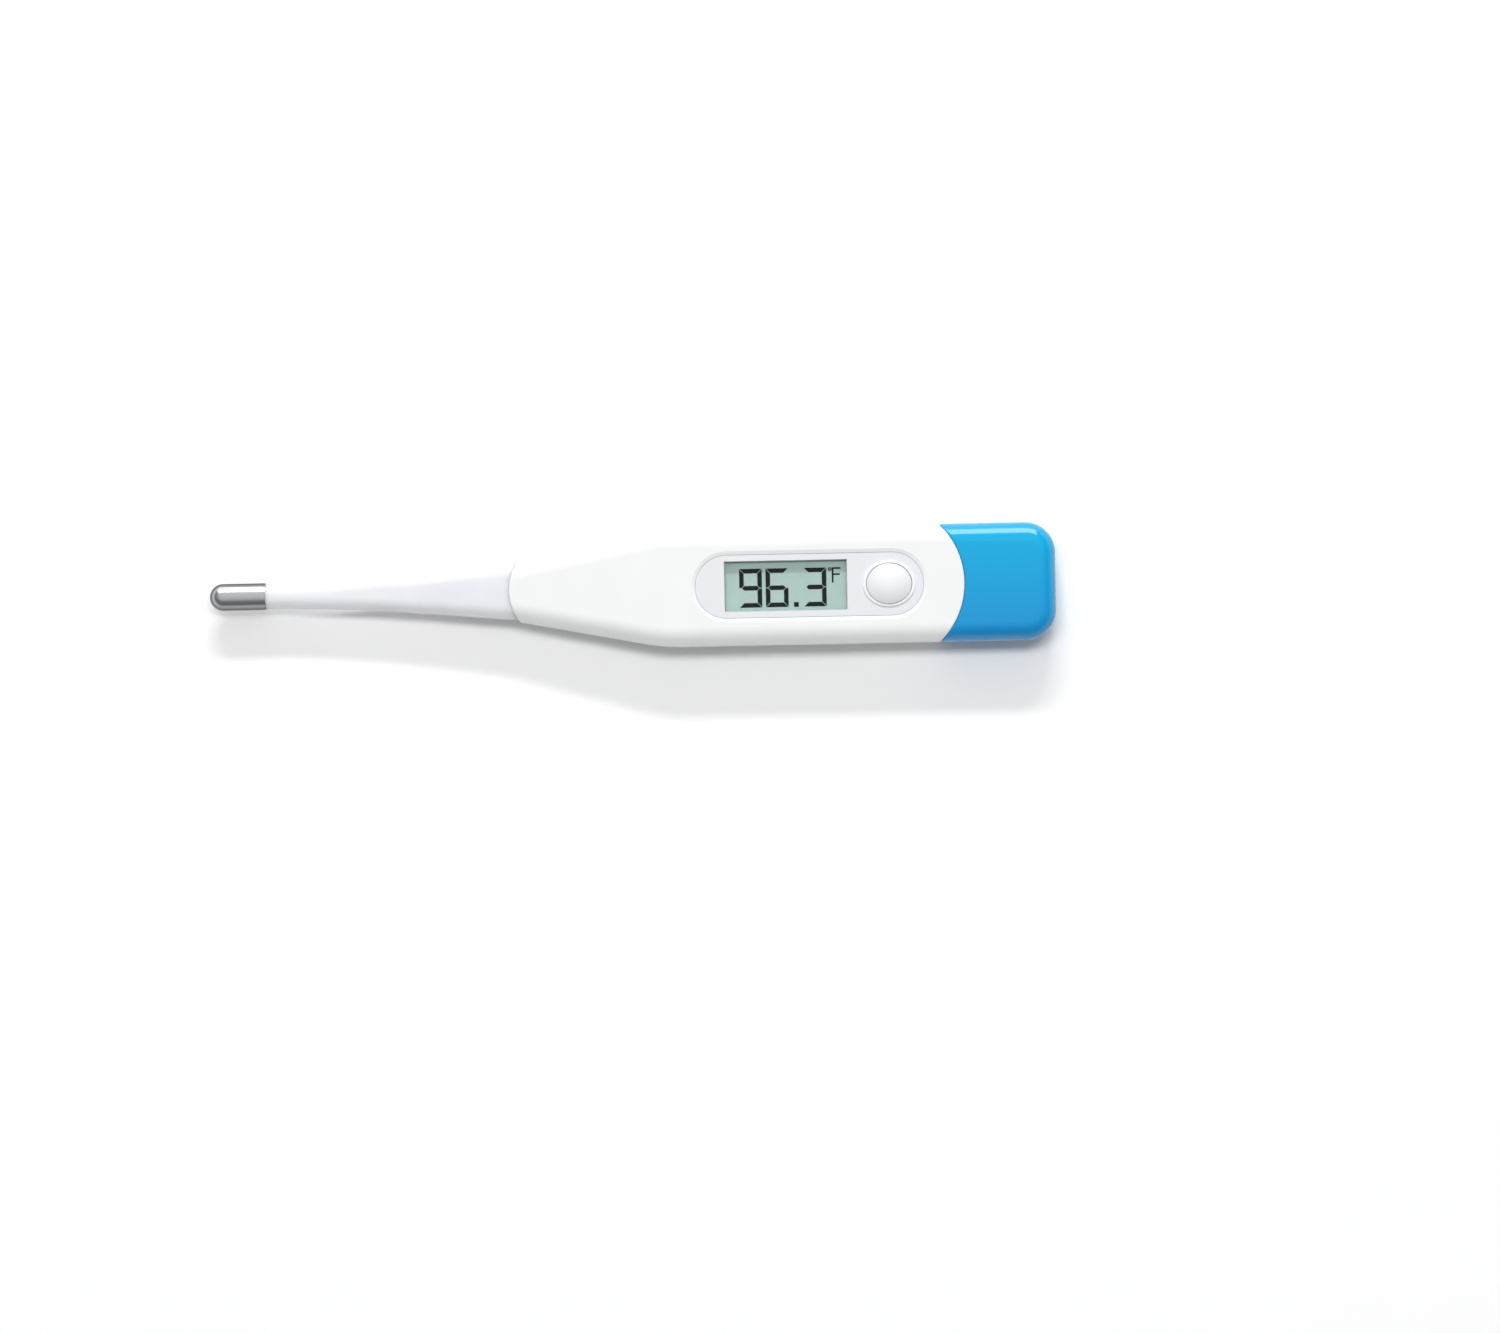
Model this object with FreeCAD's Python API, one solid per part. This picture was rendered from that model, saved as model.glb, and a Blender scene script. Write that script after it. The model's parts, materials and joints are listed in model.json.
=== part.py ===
"""Digital clinical thermometer with a flexible neck, as separate pieces.

Units are millimetres. The long axis is X: the metal tip points to -X and the battery
cover is at +X. The display faces up, +Z, and the flat underside rests on z = 0.
"""
import FreeCAD, Part
import math
import os

Vector = FreeCAD.Vector
X_AXIS = Vector(1, 0, 0)
Y_AXIS = Vector(0, 1, 0)
Z_AXIS = Vector(0, 0, 1)

# Overall size
LENGTH = 127.0
WIDTH = 17.7
THICKNESS = 10.4
TIP_X = -LENGTH / 2
END_X = LENGTH / 2
AXIS_Z = THICKNESS / 2          # height of the neck's and the tip's axis

# Outer body: a straight flare from the nose, then constant width
NOSE_X = -18.5                  # front of the housing's lip, on the centre line
SHOULDER_X = 4.6                # where the flare reaches the full width
NOSE_HALF_WIDTH = 4.35
NOSE_HALF_THICKNESS = 3.5
SHOULDER_RADIUS_PLAN = 26.0
SHOULDER_RADIUS_SIDE = 45.0
END_CORNER_RADIUS = 4.6
EDGE_RADIUS = 2.8
WALL = 1.4
LIP_RADIUS = 7.5                # plan radius of the housing's front edge
LIP_ROUNDING = 0.25

# Battery cover and the spigot that it fits over
SPLIT_X = 49.75                 # rearmost point of the housing's curved rear edge
SPLIT_RADIUS = 12.2
SPIGOT_END_X = 53.0
SPIGOT_INSET = 0.8
COVER_WALL = 0.7
COVER_GAP = 0.05
SEAL_INSET = 0.4
SEAL_DEPTH = 0.55
SPLIT_ROUNDING = 0.2            # on both edges of the joint line

# Flexible neck
METAL_LENGTH = 8.4
METAL_RADIUS = 2.0
METAL_WALL = 0.2
NECK_FRONT_X = TIP_X + METAL_LENGTH
NECK_TIP_WIDTH = 3.8
NECK_ROOT_WIDTH = 8.6
NECK_ROOT_THICKNESS = 6.4
NECK_GROWTH = 1.7               # exponent of the flare
NECK_SECTIONS = 9
NECK_HIDDEN_LENGTH = 2.5        # how far the neck's form runs on under the housing's lip
NECK_PLUG_LENGTH = 2.4          # glued into the metal cap
NECK_TIP_EDGE = 1.88            # radius of the section's corners: nearly round at the tip,
NECK_ROOT_EDGE = 2.1            # flatter on top at the lip
HINGE_LIFT_X = -32.0            # where the neck bends up and down
HINGE_SWING_X = -45.0           # where the neck bends sideways
LIFT_BALL_RADIUS = 2.3
SWING_BALL_RADIUS = 1.9
LIFT_GAP = 2.1
SWING_GAP = 1.65
BALL_CLEARANCE = 0.12
NECK_BORE_RADIUS = 0.8
CORE_RADIUS = 1.7
CORE_BORE_RADIUS = 0.9
CORE_FRONT_X = -24.0
CAVITY_FRONT_X = -9.6
CORE_FLANGE_THICKNESS = 1.0
CORE_FLANGE_RADIUS = 2.5

# Recessed face panel
PANEL_LEFT_X = 14.15            # centre of the panel's round left end
PANEL_RIGHT_X = 38.9            # centre of its right end
PANEL_RADIUS = 4.75
PANEL_BEVEL = 0.55
PANEL_DEPTH = 0.2
PANEL_THICKNESS = 0.45
ADHESIVE_THICKNESS = 0.1
PANEL_TOP = THICKNESS - PANEL_DEPTH
PANEL_BOTTOM = PANEL_TOP - PANEL_THICKNESS
LEDGE_TOP = PANEL_BOTTOM - ADHESIVE_THICKNESS
ROOF_Z = THICKNESS - WALL       # inside of the housing's top wall

# Display
DISPLAY_X = 23.0
VIEW_LENGTH = 18.2
VIEW_WIDTH = 7.4
VIEW_BEVEL = 0.1
WINDOW_LENGTH = 19.3
WINDOW_WIDTH = 8.5
WINDOW_THICKNESS = 0.5
SLIP = 0.05                     # assembly clearance, each side

# Button
BUTTON_X = 38.45
BUTTON_HALF_LENGTH = 3.4
BUTTON_HALF_WIDTH = 3.05
RING_HALF_LENGTH = 4.0
RING_HALF_WIDTH = 3.5
RING_TOP = THICKNESS + 0.1
RING_BOTTOM = 9.2
RING_OUTER_ROUNDING = 0.28
RING_INNER_ROUNDING = 0.08
BUTTON_TOP = THICKNESS + 1.1
BUTTON_DOME = 1.2
BUTTON_ROUNDING = 0.25
BUTTON_BOTTOM = 8.93
BUTTON_GAP = 0.06
FLANGE_OVERHANG = 0.3
FLANGE_GAP = 0.02               # under the ring

# Chassis and circuit board
CHASSIS_INSET = WALL + 0.25
CHASSIS_WALL = 0.8
CHASSIS_FRONT_X = 5.2
CHASSIS_TOP = 5.4
FLOOR_Z = CHASSIS_INSET + CHASSIS_WALL
BOARD_FRONT_X = 6.0
BOARD_REAR_X = 49.0
BOARD_HALF_WIDTH = 6.1
BOARD_BOTTOM = 4.2
BOARD_TOP = 5.0
LEDGE_WIDTH = 0.9               # ledges that the board rests on
BOARD_OVERLAP = 0.4             # of the board over each ledge
HOOK_OVERLAP = 0.3
HOOK_LENGTH = 2.0
HOOK_STARTS = (9.0, 27.0, 45.0)
ROOT_DEPTH = 0.2                # how far ribs reach into the tray's floor
CONTACT_SLOT_HALF_WIDTH = 1.2

# Liquid crystal display stack
GLASS_LENGTH = 21.0
GLASS_WIDTH = 9.4
REAR_GLASS_WIDTH = 7.3
GLASS_THICKNESS = 0.55
FILM_THICKNESS = 0.12
GLASS_JOIN_Z = 8.0              # between the rear and the front glass
DISPLAY_FRAME_LENGTH = GLASS_LENGTH + 1.6
DISPLAY_FRAME_WIDTH = GLASS_WIDTH + 1.4
SHELF_OUTSIDE = 0.2
SHELF_LENGTH = 0.9
SHELF_HALF_WIDTH = 3.5
POLARIZER_INSET = 0.2
ZEBRA_GAP = 0.1
ZEBRA_EDGE = 0.05
ZEBRA_INSET = 0.3

# Battery, an LR41 button cell
CELL_X = 55.2
CELL_RADIUS = 3.95
CELL_THICKNESS = 3.6
CELL_LID_STEP = 0.5
CELL_LID_INSET = 0.9
CUP_WALL = 0.8
CUP_GAP = 0.1
CONTACT_THICKNESS = 0.2
CONTACT_HALF_WIDTH = 1.0
NEGATIVE_CONTACT_X = (47.5, 57.5)
POSITIVE_CONTACT_X = (48.0, 57.0)
CELL_BOTTOM = FLOOR_Z + CONTACT_THICKNESS
CELL_TOP = CELL_BOTTOM + CELL_THICKNESS

# Buzzer
BUZZER_X = 40.0
BUZZER_RADIUS = 5.5
CERAMIC_RADIUS = 4.0
BUZZER_LAYER = 0.2
SPRING_RADIUS = 0.5
SPRING_OFFSET = 4.7             # of the spring that stands on the bare rim of the disc

# Tact switch
SWITCH_SIZE = 5.2
SWITCH_TOP = BOARD_TOP + 2.6
DOME_BOTTOM_RADIUS = 1.8
DOME_TOP_RADIUS = 1.2
DOME_GAP = 0.05                 # between the dome and the button

# Electronics on the board
BLOB_RADIUS = 6.0
BLOB_HEIGHT = 1.2
CHIP_PITCH = 2.0
CHIP_SIZE = (1.6, 0.8, 0.5)
CHIP_X = 12.0                   # a row of four under the board
REAR_CHIPS = ((43.5, -4.0), (43.5, 3.0))

# Sensor leads
LEAD_RADIUS = 0.15
LEAD_SPACING = 0.35             # half the distance between the two leads
LEAD_BEND = 1.1
SLACK_PITCH = 2.4               # along X, from one fold of the slack to the next
SLACK_NEAR = 0.6
SLACK_FAR = 4.6
SLACK_WIDE = 5.4
PAD_X = 7.6
PAD_Y = 0.9
SOLDER_RADIUS = 0.6
BEAD_X = TIP_X + 1.7
BEAD_RADIUS = 0.65


def box(x_range, y_range, z_range):
    """A box between the given limits."""
    size = [limits[1] - limits[0] for limits in (x_range, y_range, z_range)]
    corner = Vector(x_range[0], y_range[0], z_range[0])
    return Part.makeBox(*size, corner)


def plate(centre_x, length, width, z_range):
    """A rectangular plate on the centre line."""
    x_range = (centre_x - length / 2, centre_x + length / 2)
    return box(x_range, (-width / 2, width / 2), z_range)


def post(radius, x, y, z_range):
    """An upright round post."""
    return Part.makeCylinder(radius, z_range[1] - z_range[0], Vector(x, y, z_range[0]))


def rod(radius, x_range, y=0.0):
    """A round rod along X at the height of the neck's axis."""
    start = Vector(x_range[0], y, AXIS_Z)
    return Part.makeCylinder(radius, x_range[1] - x_range[0], start, X_AXIS)


def fused(shapes):
    """The shapes joined into one solid."""
    return shapes[0].multiFuse(shapes[1:]).removeSplitter()


def rounded_edges(corners, closed):
    """Lines and tangent arcs through (point, radius) corners."""
    count = len(corners)
    stretches = []
    for index, (point, radius) in enumerate(corners):
        is_end = not closed and index in (0, count - 1)
        if radius == 0 or is_end:
            stretches.append((point, None, point))
            continue
        before = (corners[index - 1][0] - point).normalize()
        after = (corners[(index + 1) % count][0] - point).normalize()
        half_angle = before.getAngle(after) / 2
        reach = radius / math.tan(half_angle)
        depth = radius / math.sin(half_angle) - radius
        middle = point + (before + after).normalize() * depth
        stretches.append((point + before * reach, middle, point + after * reach))
    edges = []
    for index, (start, middle, end) in enumerate(stretches):
        if middle is not None:
            edges.append(Part.Arc(start, middle, end).toShape())
        if closed or index < count - 1:
            following = stretches[(index + 1) % count][0]
            edges.append(Part.LineSegment(end, following).toShape())
    return edges


def flare(x, nose_half, full_half):
    """Half size of the flared body at x, along its straight stretch."""
    slope = (full_half - nose_half) / (SHOULDER_X - NOSE_X)
    return full_half - slope * (SHOULDER_X - x)


def body_form(inset):
    """The body's outer form from nose to end, moved inwards by inset."""
    start_x = NOSE_X - 4.0
    half = WIDTH / 2 - inset
    start_half = flare(start_x, NOSE_HALF_WIDTH, WIDTH / 2) - inset
    end_x = END_X - inset
    plan_radius = SHOULDER_RADIUS_PLAN - inset
    corner = END_CORNER_RADIUS - inset
    plan = [(Vector(start_x, -start_half, 0), 0), (Vector(SHOULDER_X, -half, 0), plan_radius),
            (Vector(end_x, -half, 0), corner), (Vector(end_x, half, 0), corner),
            (Vector(SHOULDER_X, half, 0), plan_radius), (Vector(start_x, start_half, 0), 0)]
    plan_face = Part.Face(Part.Wire(rounded_edges(plan, closed=True)))

    deep = AXIS_Z - inset
    start_deep = flare(start_x, NOSE_HALF_THICKNESS, AXIS_Z) - inset
    side_radius = SHOULDER_RADIUS_SIDE - inset
    low, high = AXIS_Z - deep, AXIS_Z + deep
    past_end = END_X + 5.0
    side = [(Vector(start_x, -WIDTH, AXIS_Z - start_deep), 0),
            (Vector(SHOULDER_X, -WIDTH, low), side_radius), (Vector(past_end, -WIDTH, low), 0),
            (Vector(past_end, -WIDTH, high), 0), (Vector(SHOULDER_X, -WIDTH, high), side_radius),
            (Vector(start_x, -WIDTH, AXIS_Z + start_deep), 0)]
    side_face = Part.Face(Part.Wire(rounded_edges(side, closed=True)))

    upright = plan_face.extrude(Z_AXIS * THICKNESS)
    sideways = side_face.extrude(Y_AXIS * WIDTH * 2)
    blank = upright.common(sideways).Solids[0]
    rims = [edge for edge in blank.Edges if is_rim(edge, start_x, end_x)]
    return blank.makeFillet(EDGE_RADIUS - inset, rims).Solids[0]


def is_rim(edge, start_x, end_x):
    """Whether an edge of the blank lies between its sides and its top or bottom."""
    bounds = edge.BoundBox
    at_front = bounds.XMax < start_x + 0.01
    upright = bounds.ZMin < AXIS_Z < bounds.ZMax
    crosses_body = bounds.YLength > WIDTH / 3 and bounds.XMax < end_x - 0.01
    return not (at_front or upright or crosses_body)


def behind_lip(gap=0.0):
    """Everything behind the housing's curved front edge."""
    height = (-THICKNESS, 2 * THICKNESS)
    centre_x = NOSE_X + LIP_RADIUS
    curve = post(LIP_RADIUS + gap, centre_x, 0, height)
    return fused([curve, box((centre_x, END_X + LENGTH), (-WIDTH, WIDTH), height)])


def ahead_of_split(gap=0.0):
    """Everything ahead of the housing's curved rear edge."""
    height = (-THICKNESS, 2 * THICKNESS)
    centre_x = SPLIT_X - SPLIT_RADIUS
    curve = post(SPLIT_RADIUS + gap, centre_x, 0, height)
    return fused([curve, box((TIP_X - LENGTH, centre_x), (-WIDTH, WIDTH), height)])


def round_end(shape, centre_x, plan_radius, rounding):
    """Rounds the outer edges of an end face that curves round an upright axis at centre_x."""
    def on_curve(edge):
        points = [edge.valueAt(t) for t in (edge.FirstParameter, edge.LastParameter)]
        points.append(edge.valueAt((edge.FirstParameter + edge.LastParameter) / 2))
        return all(abs(math.hypot(p.x - centre_x, p.y) - plan_radius) < 0.001 for p in points)
    edges = [edge for edge in shape.Edges if on_curve(edge)]
    return shape.makeFillet(rounding, edges).Solids[0]


def stadium(radius, z):
    """The face panel's outline at height z."""
    left, right = PANEL_LEFT_X, PANEL_RIGHT_X
    edges = [Part.LineSegment(Vector(left, -radius, z), Vector(right, -radius, z)).toShape(),
             Part.Arc(Vector(right, -radius, z), Vector(right + radius, 0, z),
                      Vector(right, radius, z)).toShape(),
             Part.LineSegment(Vector(right, radius, z), Vector(left, radius, z)).toShape(),
             Part.Arc(Vector(left, radius, z), Vector(left - radius, 0, z),
                      Vector(left, -radius, z)).toShape()]
    return Part.Wire(edges)


def ellipse(half_length, half_width, z):
    """A flat ellipse round the button's centre."""
    curve = Part.Ellipse(Vector(BUTTON_X, 0, z), half_length, half_width)
    return Part.Wire(curve.toShape())


def oval(half_length, half_width, z_range):
    """An upright elliptical prism round the button's centre."""
    face = Part.Face(ellipse(half_length, half_width, z_range[0]))
    return face.extrude(Z_AXIS * (z_range[1] - z_range[0]))


def rectangle(length, width, z):
    """A rectangle round the display's centre."""
    x, y = length / 2, width / 2
    points = [Vector(DISPLAY_X + i * x, j * y, z) for i, j in ((-1, -1), (1, -1), (1, 1), (-1, 1))]
    return Part.makePolygon(points + points[:1])


# Housing, face panel and window

def make_main_housing():
    shell = body_form(0).common(behind_lip()).common(ahead_of_split())
    shell = round_end(shell, NOSE_X + LIP_RADIUS, LIP_RADIUS, LIP_ROUNDING)
    shell = round_end(shell, SPLIT_X - SPLIT_RADIUS, SPLIT_RADIUS, SPLIT_ROUNDING)
    spigot_x = (SPLIT_X - SPLIT_RADIUS, SPIGOT_END_X)
    spigot = body_form(SPIGOT_INSET).common(box(spigot_x, (-WIDTH, WIDTH), (0, THICKNESS)))
    cavity_x = (CAVITY_FRONT_X, END_X)
    cavity = body_form(WALL).common(box(cavity_x, (-WIDTH, WIDTH), (0, THICKNESS)))
    recess = Part.makeLoft([stadium(PANEL_RADIUS, PANEL_TOP),
                            stadium(PANEL_RADIUS + PANEL_BEVEL, THICKNESS)], True, True)
    pocket = Part.Face(stadium(PANEL_RADIUS, LEDGE_TOP)).extrude(Z_AXIS * (PANEL_TOP - LEDGE_TOP))
    window_hole = plate(DISPLAY_X, WINDOW_LENGTH + 2 * SLIP, WINDOW_WIDTH + 2 * SLIP,
                        (ROOF_Z - WALL, THICKNESS))
    button_hole = oval(RING_HALF_LENGTH, RING_HALF_WIDTH, (ROOF_Z - WALL, THICKNESS))
    core_hole = rod(CORE_RADIUS, (NOSE_X - LIP_RADIUS, CAVITY_FRONT_X + WALL))
    openings = [cavity, recess, pocket, window_hole, button_hole, core_hole]
    return fused([shell, spigot]).cut(openings)


def make_face_panel():
    panel = Part.Face(stadium(PANEL_RADIUS - SLIP, PANEL_BOTTOM)).extrude(Z_AXIS * PANEL_THICKNESS)
    view = Part.makeLoft([rectangle(VIEW_LENGTH, VIEW_WIDTH, PANEL_BOTTOM),
                          rectangle(VIEW_LENGTH + 2 * VIEW_BEVEL, VIEW_WIDTH + 2 * VIEW_BEVEL,
                                    PANEL_TOP)], True, True)
    return panel.cut([view, oval(RING_HALF_LENGTH, RING_HALF_WIDTH, (ROOF_Z, THICKNESS))])


def make_panel_adhesive():
    sheet = Part.Face(stadium(PANEL_RADIUS - SLIP, LEDGE_TOP)).extrude(Z_AXIS * ADHESIVE_THICKNESS)
    view = plate(DISPLAY_X, VIEW_LENGTH, VIEW_WIDTH, (ROOF_Z, THICKNESS))
    return sheet.cut([view, oval(RING_HALF_LENGTH, RING_HALF_WIDTH, (ROOF_Z, THICKNESS))])


def make_display_window():
    return plate(DISPLAY_X, WINDOW_LENGTH, WINDOW_WIDTH, (LEDGE_TOP - WINDOW_THICKNESS, LEDGE_TOP))


# Button

def make_button_ring():
    outer = oval(RING_HALF_LENGTH, RING_HALF_WIDTH, (RING_BOTTOM, RING_TOP))
    inner = oval(BUTTON_HALF_LENGTH + BUTTON_GAP, BUTTON_HALF_WIDTH + BUTTON_GAP,
                 (ROOF_Z - 1, THICKNESS + 1))
    ring = outer.cut(inner)
    for half_length, rounding in ((RING_HALF_LENGTH, RING_OUTER_ROUNDING),
                                  (BUTTON_HALF_LENGTH + BUTTON_GAP, RING_INNER_ROUNDING)):
        rims = [edge for edge in ring.Edges if edge.BoundBox.ZMin > RING_TOP - rounding / 2
                and abs(edge.BoundBox.XMax - BUTTON_X - half_length) < 0.01]
        ring = ring.makeFillet(rounding, rims).Solids[0]
    return ring


def make_power_button():
    flange = oval(BUTTON_HALF_LENGTH + FLANGE_OVERHANG, BUTTON_HALF_WIDTH + FLANGE_OVERHANG,
                  (BUTTON_BOTTOM, RING_BOTTOM - FLANGE_GAP))
    stem = oval(BUTTON_HALF_LENGTH, BUTTON_HALF_WIDTH, (BUTTON_BOTTOM, BUTTON_TOP))
    dome_radius = (BUTTON_HALF_LENGTH ** 2 + BUTTON_DOME ** 2) / (2 * BUTTON_DOME)
    dome = Part.makeSphere(dome_radius, Vector(BUTTON_X, 0, BUTTON_TOP - dome_radius))
    cap = stem.common(dome)
    rims = [edge for edge in cap.Edges if edge.BoundBox.ZMin > RING_BOTTOM]
    return fused([flange, cap.makeFillet(BUTTON_ROUNDING, rims)])


# Flexible neck, in three stiff lengths that hinge on each other

def neck_share(x):
    """How far the neck has flared at x: 0 at the metal, 1 at the lip."""
    return ((x - NECK_FRONT_X) / (NOSE_X - NECK_FRONT_X)) ** NECK_GROWTH


def neck_section(x):
    """The neck's outline at x, an oblong with round corners."""
    share = neck_share(x)
    width = NECK_TIP_WIDTH + (NECK_ROOT_WIDTH - NECK_TIP_WIDTH) * share
    thickness = NECK_TIP_WIDTH + (NECK_ROOT_THICKNESS - NECK_TIP_WIDTH) * share
    radius = NECK_TIP_EDGE + (NECK_ROOT_EDGE - NECK_TIP_EDGE) * share
    corners = [(Vector(x, y * width / 2, AXIS_Z + z * thickness / 2), radius)
               for y, z in ((-1, -1), (1, -1), (1, 1), (-1, 1))]
    return Part.Wire(rounded_edges(corners, closed=True))


def make_neck_form():
    step = (NOSE_X + NECK_HIDDEN_LENGTH - NECK_FRONT_X) / (NECK_SECTIONS - 1)
    sections = [neck_section(NECK_FRONT_X + step * i) for i in range(NECK_SECTIONS)]
    form = Part.makeLoft(sections, True, False)
    return form.cut(behind_lip())


def ball(x, radius):
    return Part.makeSphere(radius, Vector(x, 0, AXIS_Z))


def neck_slice(form, x_range):
    return form.common(box(x_range, (-WIDTH, WIDTH), (0, THICKNESS)))


def make_neck_rear(form):
    length = neck_slice(form, (HINGE_LIFT_X + LIFT_GAP, 0))
    socket = ball(HINGE_LIFT_X, LIFT_BALL_RADIUS + BALL_CLEARANCE)
    seat = rod(CORE_RADIUS, (CORE_FRONT_X, 0))
    return length.cut([socket, seat, rod(NECK_BORE_RADIUS, (TIP_X, 0))])


def make_neck_middle(form):
    length = neck_slice(form, (HINGE_SWING_X + SWING_GAP, HINGE_LIFT_X))
    joined = fused([length, ball(HINGE_LIFT_X, LIFT_BALL_RADIUS)])
    socket = ball(HINGE_SWING_X, SWING_BALL_RADIUS + BALL_CLEARANCE)
    return joined.cut([socket, rod(NECK_BORE_RADIUS, (TIP_X, 0))])


def make_neck_front(form):
    length = neck_slice(form, (TIP_X, HINGE_SWING_X))
    plug_x = (NECK_FRONT_X - NECK_PLUG_LENGTH, NECK_FRONT_X + 1)
    plug = rod(METAL_RADIUS - METAL_WALL, plug_x)
    joined = fused([length, ball(HINGE_SWING_X, SWING_BALL_RADIUS), plug])
    return joined.cut(rod(NECK_BORE_RADIUS, (TIP_X, 0)))


def make_neck_core():
    tube = rod(CORE_RADIUS, (CORE_FRONT_X, CAVITY_FRONT_X + CORE_FLANGE_THICKNESS))
    flange = rod(CORE_FLANGE_RADIUS, (CAVITY_FRONT_X, CAVITY_FRONT_X + CORE_FLANGE_THICKNESS))
    return fused([tube, flange]).cut(rod(CORE_BORE_RADIUS, (TIP_X, END_X)))


# Metal tip and what is inside it

def tip_form(inset):
    """The tip's rounded rod, moved inwards by inset."""
    radius = METAL_RADIUS - inset
    return fused([ball(TIP_X + METAL_RADIUS, radius),
                  rod(radius, (TIP_X + METAL_RADIUS, NECK_FRONT_X))])


def make_sensor_cap():
    return tip_form(0).cut(tip_form(METAL_WALL))


def make_thermistor_bead():
    return ball(BEAD_X, BEAD_RADIUS)


def make_tip_potting():
    ahead_of_plug = rod(METAL_RADIUS, (TIP_X, NECK_FRONT_X - NECK_PLUG_LENGTH))
    fill = tip_form(METAL_WALL).common(ahead_of_plug)
    return fill.cut([ball(BEAD_X, BEAD_RADIUS)] + make_sensor_leads().Solids)


# Leads from the sensor to the board

def make_sensor_leads():
    start = BEAD_X + BEAD_RADIUS
    end = CAVITY_FRONT_X + CORE_FLANGE_THICKNESS
    return Part.makeCompound([rod(LEAD_RADIUS, (start, end), side * LEAD_SPACING)
                              for side in (-1, 1)])


def slack_lead(side):
    """One lead's spare length, folded to and fro between the neck and the board."""
    start = CAVITY_FRONT_X + CORE_FLANGE_THICKNESS
    x = start + 0.4 * SLACK_PITCH
    steps = [(start, LEAD_SPACING)]
    folds = (LEAD_SPACING, SLACK_FAR, SLACK_NEAR, SLACK_WIDE, PAD_Y)
    for before, after in zip(folds, folds[1:]):
        x += SLACK_PITCH
        steps += [(x, before), (x, after)]
    steps.append((PAD_X, PAD_Y))
    corners = [(Vector(x, side * y, AXIS_Z), LEAD_BEND) for x, y in steps]
    path = Part.Wire(rounded_edges(corners, closed=False))
    ring = Part.Circle(corners[0][0], X_AXIS, LEAD_RADIUS)
    section = Part.Wire(ring.toShape())
    return path.makePipeShell([section], True, False)


def make_lead_slack():
    return Part.makeCompound([slack_lead(side) for side in (-1, 1)])


def make_solder_joints():
    domes = []
    for side in (-1, 1):
        ball_of_solder = Part.makeSphere(SOLDER_RADIUS, Vector(PAD_X, side * PAD_Y, BOARD_TOP))
        above_board = post(SOLDER_RADIUS, PAD_X, side * PAD_Y, (BOARD_TOP, ROOF_Z))
        domes.append(ball_of_solder.common(above_board).cut(slack_lead(side)))
    return Part.makeCompound(domes)


# Battery cover

def make_battery_cover():
    outside = body_form(0).cut(ahead_of_split(COVER_GAP))
    outside = round_end(outside, SPLIT_X - SPLIT_RADIUS, SPLIT_RADIUS + COVER_GAP, SPLIT_ROUNDING)
    rebate = body_form(SEAL_INSET - COVER_GAP).common(ahead_of_split(SEAL_DEPTH + COVER_GAP))
    return outside.cut([body_form(COVER_WALL), rebate])


def make_cover_seal():
    ring = body_form(SEAL_INSET).cut(body_form(SPIGOT_INSET))
    return ring.common(ahead_of_split(SEAL_DEPTH)).cut(ahead_of_split())


# Chassis

def make_chassis():
    tray_x = (CHASSIS_FRONT_X, END_X)
    ledge_inside = BOARD_HALF_WIDTH - BOARD_OVERLAP
    ledge_outside = ledge_inside + LEDGE_WIDTH
    tray = body_form(CHASSIS_INSET).common(box(tray_x, (-WIDTH, WIDTH), (0, CHASSIS_TOP)))
    tray = tray.cut(body_form(CHASSIS_INSET + CHASSIS_WALL))
    extras = [tray]
    for side in (-1, 1):
        ledge_y = sorted((side * ledge_inside, side * ledge_outside))
        ledge_z = (FLOOR_Z - ROOT_DEPTH, BOARD_BOTTOM)
        extras.append(box((BOARD_FRONT_X, BOARD_REAR_X), ledge_y, ledge_z))
        hook_y = sorted((side * (BOARD_HALF_WIDTH - HOOK_OVERLAP), side * ledge_outside))
        for x in HOOK_STARTS:
            extras.append(box((x, x + HOOK_LENGTH), hook_y, (BOARD_TOP, CHASSIS_TOP)))
    inside_radius = CELL_RADIUS + CUP_GAP
    extras.append(post(inside_radius + CUP_WALL, CELL_X, 0, (FLOOR_Z - ROOT_DEPTH, CHASSIS_TOP)))
    hollow = post(inside_radius, CELL_X, 0, (FLOOR_Z, THICKNESS))
    slot = box((CELL_X - 2 * CELL_RADIUS, CELL_X),
               (-CONTACT_SLOT_HALF_WIDTH, CONTACT_SLOT_HALF_WIDTH),
               (FLOOR_Z, FLOOR_Z + 2 * CONTACT_THICKNESS))
    return fused(extras).cut([hollow, slot])


def make_circuit_board():
    return box((BOARD_FRONT_X, BOARD_REAR_X), (-BOARD_HALF_WIDTH, BOARD_HALF_WIDTH),
               (BOARD_BOTTOM, BOARD_TOP))


def make_processor_blob():
    centre = Vector(DISPLAY_X, 0, BOARD_BOTTOM + BLOB_RADIUS - BLOB_HEIGHT)
    below_board = post(BLOB_RADIUS, DISPLAY_X, 0, (0, BOARD_BOTTOM))
    return Part.makeSphere(BLOB_RADIUS, centre).common(below_board)


def make_chip_components():
    length, width, height = CHIP_SIZE
    under = BOARD_BOTTOM - height
    chips = [Part.makeBox(length, width, height, Vector(CHIP_X, (i - 2) * CHIP_PITCH, under))
             for i in range(4)]
    chips += [Part.makeBox(length, width, height, Vector(x, y, BOARD_TOP)) for x, y in REAR_CHIPS]
    return Part.makeCompound(chips)


# Display stack

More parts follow.
